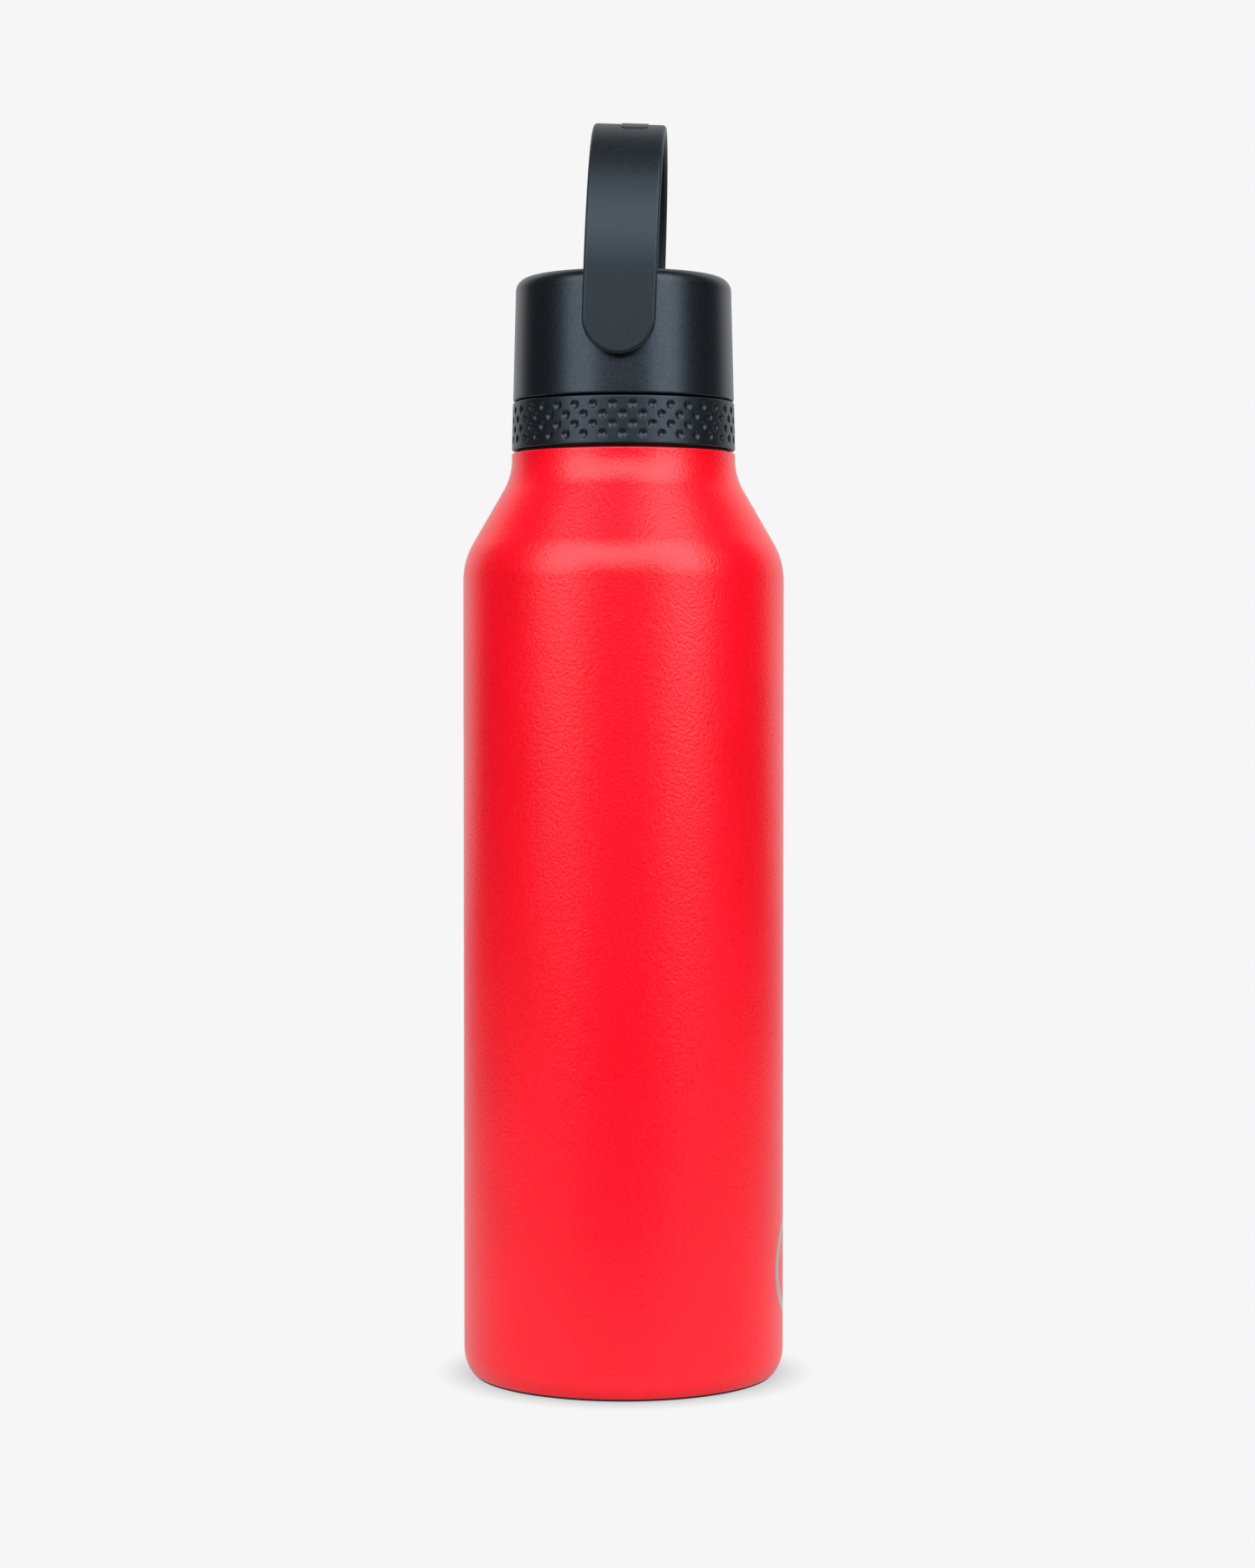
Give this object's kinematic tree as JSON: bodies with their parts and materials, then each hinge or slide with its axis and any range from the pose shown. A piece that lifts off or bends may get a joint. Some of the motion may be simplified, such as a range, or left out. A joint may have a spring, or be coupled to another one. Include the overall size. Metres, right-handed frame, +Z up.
{
  "type": "insulated water bottle",
  "caption": "Slim double-walled vacuum water bottle with a sloping shoulder, a two-part screw lid with a dimpled grip band, and a flat strap handle that swings.",
  "frame": {"origin": "centre of the foot, on the surface that the bottle stands on", "axes": "+Z up along the bottle's axis; the strap's pivot axis lies along Y"},
  "size_m": [0.073, 0.073, 0.2845],
  "materials": {
    "red_powder_coat": "satin",
    "stainless": "satin",
    "copper": "satin",
    "getter_alloy": "matte",
    "black_silicone": "matte",
    "clear_silicone": "matte",
    "black_plastic": "matte",
    "black_grip": "matte",
    "strap_plastic": "matte",
    "natural_plastic": "satin",
    "foam": "matte",
    "pivot_steel": "satin",
    "bush_acetal": "satin",
    "washer_fibre": "matte"
  },
  "bodies": {
    "bottle": {"outer_shell": "red_powder_coat", "base_plate": "stainless", "vacuum_port_seal": "getter_alloy", "foot_pad": "black_silicone", "inner_liner": "stainless", "copper_wrap": "copper", "getter": "getter_alloy"},
    "collar_seal": {"collar_gasket": "black_silicone"},
    "collar": {"collar_body": "black_plastic", "grip_band": "black_grip", "spout_sleeve": "natural_plastic"},
    "cap_seal": {"cap_gasket": "clear_silicone"},
    "cap": {"cap_shell": "black_plastic", "cap_core": "natural_plastic", "cap_foam": "foam", "pivot_bush_front": "bush_acetal", "pivot_bush_back": "bush_acetal", "friction_washer_front": "washer_fibre", "friction_washer_back": "washer_fibre"},
    "handle": {"handle_strap": "strap_plastic", "handle_pad": "strap_plastic", "pivot_stud_front": "pivot_steel", "pivot_stud_back": "pivot_steel", "stud_clip_front": "pivot_steel", "stud_clip_back": "pivot_steel"}
  },
  "joints": [
    {"name": "collar_lift", "type": "slide", "parent": "bottle", "child": "collar_seal", "axis": [0, 0, 1], "range_m": [0, 0.00511]},
    {"name": "collar_turn", "type": "hinge", "parent": "collar_seal", "child": "collar", "pos_m": [0, 0, 0.2158], "axis": [0, 0, 1], "range_deg": [0, 460]},
    {"name": "cap_lift", "type": "slide", "parent": "collar", "child": "cap_seal", "axis": [0, 0, 1], "range_m": [0, 0.00511]},
    {"name": "cap_turn", "type": "hinge", "parent": "cap_seal", "child": "cap", "pos_m": [0, 0, 0.235], "axis": [0, 0, 1], "range_deg": [0, 460]},
    {"name": "handle_swing", "type": "hinge", "parent": "cap", "child": "handle", "pos_m": [0, 0, 0.2381], "axis": [0, 1, 0], "range_deg": [-132.1, 127.9]}
  ],
  "couplings": [
    {"joint": "collar_lift", "follows": "collar_turn", "m_per_rad": 0.00063662},
    {"joint": "cap_lift", "follows": "cap_turn", "m_per_rad": 0.00063662}
  ]
}
